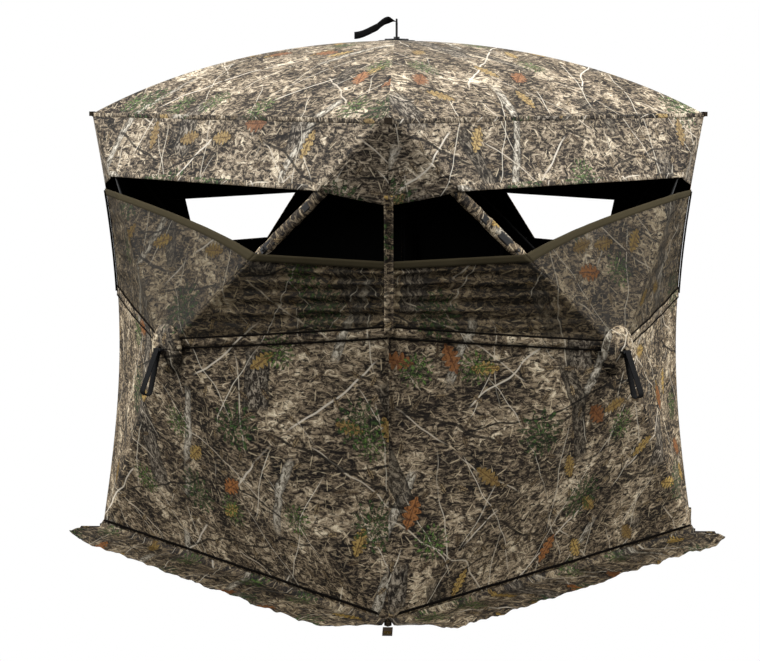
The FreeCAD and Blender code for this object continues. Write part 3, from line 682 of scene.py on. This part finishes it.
def window_wall(side, near_sign):
    """Wall with its screens lowered; near_sign points to the corner both such walls share."""
    s = settings()
    near = "right" if near_sign > 0 else "left"
    outer = "left" if near_sign > 0 else "right"
    top = s.eave - 0.002
    mid = slant(s.screen_mid, s.screen_near + 0.008)
    if near_sign < 0:
        mid = slant(s.screen_near + 0.008, s.screen_mid)
    upper = side + "_upper_gore"
    brow = end_sheet(side + "_valance", side, upper, level(s.brow_mid), level(top), *BRIM)
    end_sheet(side + "_screen", side, upper, level(s.hub + 0.004), mid, *SCREEN,
              sag=0.010, ripple=0.0016)
    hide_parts(upper)
    for facet, sign, corner, ridge, brow_corner in (
            (near, near_sign, s.screen_near, s.screen_near + 0.008, s.brow_near),
            (outer, -near_sign, s.screen_outer, s.screen_mid, s.brow_outer)):
        gore = "{0}_{1}_gore".format(side, facet)
        sill = slant(s.sill_corner, s.sill_hub)
        lower = side_sheet("{0}_{1}_lower_cloth".format(side, facet), side, sign, gore,
                           level(BASE + 0.004), sill, *WALL, rows=40)
        # The near screens are slacker, and they take the screen copy with less painted shade.
        slack = facet == near
        top_line = slant(corner, ridge)
        side_sheet("{0}_{1}_screen".format(side, facet), side, sign, gore, sill, top_line,
                   *(NEAR_SCREEN_LESS_SHADE if slack else SCREEN), sag=0.010,
                   ripple=0.0075 if slack else 0.003, cols=40, rows=60)
        label = "{0}_{1}_".format(side, facet)
        side_band(label + "screen_hem", side, sign, gore, top_line, 0.022, 0.001,
                  "Olive hem tape", 0.004)
        side_band(label + "sill_band", side, sign, gore, sill, 0.016, 0.016, WALL[0], 0.004)
        for tag, shift in (("upper", 0.016), ("lower", -0.019)):
            side_band(label + "sill_{0}_seam".format(tag), side, sign, gore,
                      lambda a, sill=sill, shift=shift: sill(a) + shift, 0.003, 0.003,
                      "Dark seam thread", 0.0052)
        side_sheet("{0}_{1}_valance".format(side, facet), side, sign, gore,
                   slant(brow_corner, s.brow_mid), level(top), *BRIM)
        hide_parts(gore)
    bottom = end_sheet(side + "_bottom_cloth", side, side + "_lower_gore", level(BASE + 0.004),
                       level(s.hub - 0.004), *WALL, rows=34)
    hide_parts(side + "_lower_gore")


def rear_wall(side):
    """Closed wall with one window hole in its upper cloth."""
    s = settings()
    upper = side + "_upper_gore"
    top = s.eave - 0.002
    w_top = s.eave - WINDOW_TOP * (s.eave - s.hub)
    w_low = s.eave - WINDOW_LOW * (s.eave - s.hub)
    over = end_sheet(side + "_brow_cloth", side, upper, level(w_top), level(top), *BRIM)
    end_sheet(side + "_under_cloth", side, upper, level(s.hub + 0.004), level(w_low), *WALL)
    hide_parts(upper)
    for sign in (-1, 1):
        def place(a, b, sign=sign):
            z = lerp(w_low, w_top, b)
            hole = to_world(side, sign * lerp(WINDOW_LOW_HALF, WINDOW_TOP_HALF, b), z,
                            s.bulge * (s.eave - z) / (s.eave - s.hub))
            return hole.lerp(ridge_point(side, sign, z), a)

        def chart(a, b, sign=sign):
            z = lerp(w_low, w_top, b)
            wide = HALF * (z - s.hub) / (s.eave - s.hub)
            return (sign * lerp(lerp(WINDOW_LOW_HALF, WINDOW_TOP_HALF, b), wide, a), z)

        name = "{0}_{1}_jamb_cloth".format(side, "left" if sign < 0 else "right")
        piece = grid_mesh(name, 6, 10, place, chart, wall_normal(side))
        finish_cloth(piece, *WALL)
        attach(piece, upper)
    for facet, sign in (("left", -1), ("right", 1)):
        gore = "{0}_{1}_gore".format(side, facet)
        if (side, facet) == ("back", "right"):
            continue
        piece = side_sheet("{0}_{1}_cloth".format(side, facet), side, sign, gore,
                           level(BASE + 0.004), level(top), *WALL, rows=50)
        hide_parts(gore)
    bottom = end_sheet(side + "_bottom_cloth", side, side + "_lower_gore", level(BASE + 0.004),
                       level(s.hub - 0.004), *WALL, rows=34)
    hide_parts(side + "_lower_gore")


class BLIND_OT_window_walls(bpy.types.Operator):
    """Sews the two window walls: valance, lowered screens and lower cloth"""
    bl_idname = "blind.window_walls"
    bl_label = "Window walls"

    def execute(self, context):
        window_wall("front", 1)
        window_wall("right", -1)
        return {"FINISHED"}


class BLIND_OT_rear_walls(bpy.types.Operator):
    """Sews the two closed walls with their window holes"""
    bl_idname = "blind.rear_walls"
    bl_label = "Rear walls"

    def execute(self, context):
        rear_wall("back")
        rear_wall("left")
        return {"FINISHED"}


def door_bounds(t, grow):
    """Lowest and highest z of the door, and of its panel, at a depth from the corner."""
    s = settings()
    low = BASE + (s.hub - BASE) * t / HALF + 0.008
    high = s.eave - (s.eave - s.hub) * t / HALF - 0.008
    return low + DOOR[2] - grow, high - DOOR[2] + grow


class BLIND_OT_door(bpy.types.Operator):
    """Sews the door panel, its zipped flap and the zip coil"""
    bl_idname = "blind.door"
    bl_label = "Door"

    def execute(self, context):
        s = settings()
        side, gore = "back", "back_right_gore"
        tilt = math.atan2(s.bulge, HALF)
        cos, sin = math.cos(tilt), math.sin(tilt)

        def at(t, z, out=0.0):
            return to_world(side, HALF - cos * t + sin * out, z, sin * t + cos * out)

        def strip(name, first, last, low, high, body, cols, rows):
            def place(a, b):
                t = lerp(first, last, a)
                return at(t, lerp(low(t), high(t), b))

            def chart(a, b):
                t = lerp(first, last, a)
                return (HALF - t + 3.2, lerp(low(t), high(t), b))

            piece = grid_mesh(name, cols, rows, place, chart, wall_normal(side))
            finish_cloth(piece, *WALL)
            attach(piece, body)
            return piece

        full = HALF / cos

        def base(t):
            return BASE + (s.hub - BASE) * min(1, t / full) + 0.001

        def peak(t):
            return s.eave - (s.eave - s.hub) * min(1, t / full) - 0.001

        grow = 0.004
        first, last = DOOR[0] - grow, DOOR[1] + grow
        below = strip("door_panel_below", first, last, base,
                      lambda t: door_bounds(t, grow)[0], gore, 20, 6)
        strip("door_panel_above", first, last, lambda t: door_bounds(t, grow)[1], peak,
              gore, 20, 8)
        strip("door_panel_inner", last, full * 0.985, base, peak, gore, 16, 20)
        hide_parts(gore)

        def corner(a, b):
            z = lerp(BASE + 0.004, s.eave - 0.004, b)
            edge = edge_point(side, 1, z)
            limit = min(first, (z - BASE) / (s.hub - BASE) * full,
                        (s.eave - z) / (s.eave - s.hub) * full)
            return edge.lerp(at(max(limit, 0.001), z), a)

        piece = grid_mesh("door_panel_corner", 8, 50, corner,
                          lambda a, b: (3.2 + HALF - a * first, b * s.eave), wall_normal(side))
        finish_cloth(piece, *WALL)
        start = to_world(side, HALF - 0.004, 0.8, 0)
        end = to_world(side, HALF - 0.056, 0.8, 0)
        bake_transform(piece)
        flap = strip("door_flap_cloth", DOOR[0], DOOR[1], lambda t: door_bounds(t, 0)[0],
                     lambda t: door_bounds(t, 0)[1], "door_flap", 22, 40)
        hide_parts("door_flap")
        for name, which in (("door_zip_upper", 1), ("door_zip_lower", 0)):
            def path(b, which=which):
                t = lerp(DOOR[0], DOOR[1], b)
                return at(t, door_bounds(t, ZIP_OUT)[which], 0.0012)

            ribbon(name, path, lambda b: UP, "Black zip coil", 0.0012, 0.014, gore)
        level_way = (at(0.2, 1.0) - at(0.1, 1.0)).normalized()
        for name, ends, way in (
                ("door_tape_hinge", [(DOOR[0] - 0.002, 0), (DOOR[0] - 0.002, 1)], level_way),
                ("door_tape_front", [(DOOR[1] + 0.002, 0), (DOOR[1] + 0.002, 1)], level_way),
                ("door_tape_upper", [(DOOR[0], 1), (DOOR[1], 1)], UP),
                ("door_tape_lower", [(DOOR[0], 0), (DOOR[1], 0)], UP)):
            def edge_line(b, ends=ends):
                points = [at(t, door_bounds(t, 0.002)[which], -0.0034) for t, which in ends]
                return points[0].lerp(points[1], b)

            ribbon(name, edge_line, lambda b, way=way: way, "Black webbing", 0.0012, 0.018,
                   gore)
        return {"FINISHED"}


def roof_height(share):
    """Height of the dome over the eave at a share of the way out from its middle."""
    rise = settings().rise
    bend = (HALF ** 2 + rise ** 2) / (2 * rise)
    return math.sqrt(bend ** 2 - (HALF * share) ** 2) + rise - bend


class BLIND_OT_roof(bpy.types.Operator):
    """Sews the four domed roof panels"""
    bl_idname = "blind.roof"
    bl_label = "Roof"

    def execute(self, context):
        s = settings()
        for index, side in enumerate(SIDES):
            turn = Matrix.Rotation(math.radians(90 * index), 3, "Z")

            def place(a, b, turn=turn, index=index):
                back = lerp(0.0, HALF - 0.004, b)
                wide = HALF - back
                across = lerp(-wide, wide, a)
                share = (HALF - back) / HALF
                lift = bump_at(Vector((across, back, index * 3.0)), 4.0, s.crease, 5.0)
                lift *= math.sin(math.pi * a) * ease(b * 6) * ease(wide / 0.2)
                return turn @ Vector((across, -HALF + back, s.eave + roof_height(share) + lift))

            def chart(a, b, index=index):
                back = lerp(0.0, HALF, b)
                return (lerp(-1, 1, a) * (HALF - back) + 1.6 * index,
                        s.eave + back * 1.07)

            piece = grid_mesh("roof_{0}_cloth".format(side), 40, 34, place, chart, UP)
            finish_cloth(piece, "Printed polyester roof", "Black cloth lining", "roof_cloth")
            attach(piece, "roof_{0}_gore".format(side))
            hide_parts("roof_{0}_gore".format(side))
        return {"FINISHED"}


class BLIND_OT_skirt(bpy.types.Operator):
    """Lays the ground skirt round the base"""
    bl_idname = "blind.skirt"
    bl_label = "Ground skirt"

    def execute(self, context):
        s = settings()
        first = None
        for index, side in enumerate(SIDES):
            def place(a, b, side=side, index=index):
                out = lerp(-0.003, s.skirt, b)
                left = HALF - b * (SKIRT_DRAWN_IN if side == "back" else SKIRT_MITRE)
                right = HALF - b * (SKIRT_DRAWN_IN if side == "left" else SKIRT_MITRE)
                u = lerp(-left, right, a)
                rough = noise.noise(Vector((u * 9, b * 2.0, index * 5.0)))
                fold = noise.noise(Vector((u * 23, b * 1.2, index * 5.0)))
                edge = noise.noise(Vector((u * 4, 7.0, index * 5.0)))
                edge += 0.6 * noise.noise(Vector((u * 13, 2.0, index * 3.0)))
                lift = 0.004 + ease(b * 1.5) * (0.005 + 0.016 * abs(rough) + 0.010 * abs(fold))
                lift += 0.026 * (1 - ease(b * 7)) + 0.018 * ease((abs(a - 0.5) - 0.44) / 0.06) * b
                return to_world(side, u, lift, out + 0.018 * edge * b * b)

            def chart(a, b, index=index):
                return (lerp(-HALF, HALF, a) + 1.6 * index, -0.3 + b * s.skirt)

            piece = grid_mesh("skirt_{0}_cloth".format(side), 150, 16, place, chart, UP)
            finish_cloth(piece, "Printed polyester skirt", "Black cloth lining", "skirt_cloth",
                         held="laid")
            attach(piece, "ground_edge")
            first = first or piece
        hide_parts("ground_skirt")
        return {"FINISHED"}


class BLIND_OT_seams(bpy.types.Operator):
    """Sews the seam tapes and corner straps, and lays a painted shadow line along the foot of each
    wall
    """
    bl_idname = "blind.seams"
    bl_label = "Seams and straps"

    def execute(self, context):
        s = settings()
        first = None
        for index, side in enumerate(SIDES):
            out = wall_normal(side)
            along = to_world(side, 1, 0, 0) - to_world(side, 0, 0, 0)

            def eave(b, side=side):
                return to_world(side, lerp(-HALF + 0.004, HALF - 0.004, b), s.eave - 0.003, 0.0035)

            tape = ribbon(side + "_eave_seam", eave, lambda b: UP, "Printed polyester roof",
                          0.0016, 0.014, "ground_edge", 0.3 * index)
            first = first or tape
            # A dark strip along the foot of each wall: a painted shadow line where the wall meets
            # the skirt.
            end_band(side + "_base_painted_shadow_line", side, side + "_lower_gore", level(BASE + 0.026), 0.0,
                     0.010, "Dark seam thread", 0.004)
            diagonal = (out + along).normalized()
            cross = (along - out).normalized()
            near = side == "front"
            look = "Printed polyester wall" if near else "Black webbing"
            span = (s.sill_corner - 0.01, s.brow_near + 0.03) if near else STRAP_SPAN

            def corner(b, side=side, diagonal=diagonal, span=span):
                return edge_point(side, 1, lerp(*span, b)) + diagonal * 0.0042

            ribbon(side + "_corner_strap", corner, lambda b, c=cross: c, look, 0.0016,
                   0.027 if near else 0.030, "ground_edge")
        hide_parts("edge_piping", "corner_webbing")
        return {"FINISHED"}


class BLIND_OT_hems(bpy.types.Operator):
    """Turns the hems of the valances and the screens"""
    bl_idname = "blind.hems"
    bl_label = "Hems"

    def execute(self, context):
        s = settings()
        for side, near_sign in (("front", 1), ("right", -1)):
            out = wall_normal(side)
            upper = side + "_upper_gore"

            def path(b, side=side, out=out, z=s.brow_mid + 0.009):
                return ridge_point(side, -1, z).lerp(ridge_point(side, 1, z), b) + out * 0.003

            down = ridge_point(side, 1, 1.2) - ridge_point(side, 1, 1.3)
            flat = Vector((out.x * down.dot(out), out.y * down.dot(out), down.z)).normalized()
            ribbon(side + "_valance_hem", path, lambda b, f=flat: f, "Printed polyester roof",
                   0.0014, 0.018, upper, 0.7)
            first, last = s.screen_mid, s.screen_near + 0.008
            if near_sign < 0:
                first, last = last, first
            end_band(side + "_screen_hem", side, upper, slant(first, last), 0.022, 0.001,
                     "Olive hem tape", 0.004)
        return {"FINISHED"}


class BLIND_OT_fittings(bpy.types.Operator):
    """Gives the hubs, poles, loops and stake fittings their finishes"""
    bl_idname = "blind.fittings"
    bl_label = "Fittings"

    def execute(self, context):
        looks = {"pole": "Black fibreglass", "hub": "Black nylon", "loop": "Black webbing",
                 "loops": "Brown corner binding", "boots": "Brown corner binding",
                 "grommets": "Dull brass eyelet", "hook": "Black nylon",
                 "slider": "Zinc plated steel"}
        for name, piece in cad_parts.items():
            look = looks.get(name.split("_")[-1])
            if look is None:
                continue
            piece.data.materials.clear()
            piece.data.materials.append(bpy.data.materials[look])
        self.roof_loop()
        for name in POLE_CLOTH:
            self.sleeve(name)
        for side in SIDES:
            self.cover(side)
        return {"FINISHED"}

    def roof_loop(self):
        """Webbing loop of the roof hub, turned on edge as it lies over to one side."""
        node = bpy.data.objects["roof_pull_loop"]
        top = max((node.matrix_world @ Vector(corner)).z for corner in node.bound_box)
        start = Vector((0.0, 0.0, top - 0.012))
        away = Vector((-1, -1, 0)).normalized()
        aside = Vector((1, -1, 0)).normalized()
        reach = 0.148

        def path(b, lean):
            rise = 0.010 * math.sin(math.pi * min(1.0, b * 2.2)) - 0.046 * ease(b) ** 1.2
            spread = 0.006 * lean * math.sin(math.pi * clamp(b)) + 0.0012 * lean
            return start + away * reach * b + Vector((0, 0, rise)) + aside * spread

        def across(b):
            turn = ease(b * 3.2)
            return (aside * (1 - turn) + UP * turn).normalized()

        first = None
        for lean, tag in ((1, "near"), (-1, "far")):
            strand = ribbon("roof_loop_" + tag, lambda b, lean=lean: path(b, lean), across,
                            "Black webbing", 0.0018, 0.025, "roof_pull_loop")
            first = first or strand
        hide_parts("roof_pull_loop")

    def cover(self, side):
        """Cloth patch sewn over a wall hub."""
        s = settings()
        out = wall_normal(side)
        centre = to_world(side, 0, s.hub, s.bulge)
        along = to_world(side, 1, 0, 0) - to_world(side, 0, 0, 0)

        def place(a, b):
            angle = 2 * math.pi * a
            radius = PATCH_HOLE + PATCH_RING * b
            lift = (-s.bulge * radius / RIDGE_RUN
                    + 0.0105 * ease((PATCH_EDGE - radius) / 0.018) + 0.0006)
            return (centre + along * radius * math.cos(angle)
                    + Vector((0, 0, radius * math.sin(angle))) + out * lift)

        piece = grid_mesh(side + "_hub_patch", 40, 10, place,
                          lambda a, b: (
                              1.6 * SIDES.index(side) + PATCH_RING * b * math.cos(6.283 * a),
                              s.hub + PATCH_RING * b * math.sin(6.283 * a)), out)
        finish_cloth(piece, "Printed polyester wall", "Black cloth lining", "wall_cloth")
        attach(piece, side + "_hub")

    def sleeve(self, name):
        """Printed tube over a pole that crosses a window."""
        s = settings()
        side = name.split("_")[0]
        sign = 1 if "right" in name.split("_")[2] else -1
        tip = to_world(side, sign * HALF, s.eave, 0)
        apex = to_world(side, 0, s.hub, s.bulge)
        axis = (tip - apex).normalized()
        out = (wall_normal(side) - axis * wall_normal(side).dot(axis)).normalized()
        cross = axis.cross(out)

        def place(a, b):
            angle = 2 * math.pi * a
            pinch = 0.004 * noise.noise(Vector((b * 26, 2 * a, sign)))
            centre = apex + axis * lerp(*SLEEVE_SPAN, b) - out * SLEEVE_WIDE
            return (centre + cross * (SLEEVE_WIDE + pinch) * math.cos(angle)
                    + out * (SLEEVE_DEEP + pinch) * math.sin(angle))

        piece = grid_mesh(name + "_sleeve", 20, 60, place,
                          lambda a, b: (a * 0.09 + sign, b * 0.82), out)
        bm = bmesh.new()
        bm.from_mesh(piece.data)
        bmesh.ops.remove_doubles(bm, verts=bm.verts, dist=0.0001)
        bmesh.ops.recalc_face_normals(bm, faces=bm.faces)
        bm.to_mesh(piece.data)
        bm.free()
        piece.data.materials.append(bpy.data.materials["Printed polyester wall"])
        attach(piece, name)


class BLIND_OT_studio(bpy.types.Operator):
    """Sets the floor, the soft lights and the camera"""
    bl_idname = "blind.studio"
    bl_label = "Studio"

    def execute(self, context):
        scene = context.scene
        bm = bmesh.new()
        bmesh.ops.create_grid(bm, x_segments=1, y_segments=1, size=30)
        floor = new_piece("Studio floor", bm)
        # Painted paper: the camera sees it plain white, and it throws little light upwards.
        net = Net("White studio floor")
        seen = net.add("ShaderNodeLightPath").outputs["Is Camera Ray"]
        white = net.add("ShaderNodeEmission", {"Color": (1, 1, 1, 1),
                                               "Strength": 1.0}).outputs[0]
        matt = net.surface(linear("4a4a4a"), 0.9, gloss=0.0)
        floor.data.materials.append(net.output(
            net.add("ShaderNodeMixShader", {0: seen, 1: matt, 2: white}).outputs[0]))
        world = bpy.data.worlds.new("Studio")
        world.use_nodes = True
        tree = world.node_tree
        sky = tree.nodes["Background"]
        path = tree.nodes.new("ShaderNodeLightPath")
        pick = tree.nodes.new("ShaderNodeMix")
        pick.inputs[2].default_value = 0.62
        pick.inputs[3].default_value = 1.0
        tree.links.new(path.outputs["Is Camera Ray"], pick.inputs[0])
        tree.links.new(pick.outputs[0], sky.inputs[1])
        sky.inputs[0].default_value = (1, 1, 1, 1)
        scene.world = world
        scene.view_settings.view_transform = "Standard"
        # Bearing in degrees from the near corner, then distance, height and size in metres, watts.
        for name, bearing, distance, height, size, power in (
                ("Left light", -86, 5.4, 3.2, 3.0, 330.0),
                ("Right light", 84, 5.4, 3.2, 3.0, 330.0),
                ("Top light", 0, 0.2, 5.2, 4.5, 230.0)):
            data = bpy.data.lights.new(name, "AREA")
            data.size = size
            data.energy = power
            lamp = bpy.data.objects.new(name, data)
            angle = math.radians(45 + bearing)
            lamp.location = (distance * math.sin(angle), -distance * math.cos(angle), height)
            aim = Vector((0, 0, 0.9)) - lamp.location
            lamp.rotation_euler = aim.to_track_quat("-Z", "Y").to_euler()
            scene.collection.objects.link(lamp)
        turn = Matrix.Rotation(CAMERA_TURN, 3, "Z")
        data = bpy.data.cameras.new("Camera")
        data.sensor_width = 36.0
        data.lens = CAMERA_LENS
        camera = bpy.data.objects.new("Camera", data)
        camera.location = turn @ Vector(CAMERA_PLACE)
        facing = turn @ Vector((0, math.cos(CAMERA_DIP), -math.sin(CAMERA_DIP)))
        camera.rotation_euler = facing.to_track_quat("-Z", "Y").to_euler()
        scene.collection.objects.link(camera)
        scene.camera = camera
        return {"FINISHED"}


class BLIND_PT_panel(bpy.types.Panel):
    """Sidebar panel with the blind's sizes and building steps"""
    bl_idname = "BLIND_PT_panel"
    bl_label = "Ground Blind"
    bl_space_type = "VIEW_3D"
    bl_region_type = "UI"
    bl_category = "Ground Blind"

    def draw(self, context):
        for name in BlindSettings.__annotations__:
            self.layout.prop(context.scene.blind_settings, name)
        for step in STEPS:
            self.layout.operator(step.bl_idname)


STEPS = (BLIND_OT_materials, BLIND_OT_window_walls, BLIND_OT_rear_walls, BLIND_OT_door,
         BLIND_OT_roof, BLIND_OT_skirt, BLIND_OT_seams, BLIND_OT_hems, BLIND_OT_fittings,
         BLIND_OT_studio)


def register():
    for item in (BlindSettings, *STEPS, BLIND_PT_panel):
        bpy.utils.register_class(item)
    bpy.types.Scene.blind_settings = bpy.props.PointerProperty(type=BlindSettings)


def unregister():
    del bpy.types.Scene.blind_settings
    for item in (BLIND_PT_panel, *reversed(STEPS), BlindSettings):
        bpy.utils.unregister_class(item)


def main():
    register()
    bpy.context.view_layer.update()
    for step in STEPS:
        group, action = step.bl_idname.split(".")
        getattr(getattr(bpy.ops, group), action)()


if __name__ == "__main__":
    main()
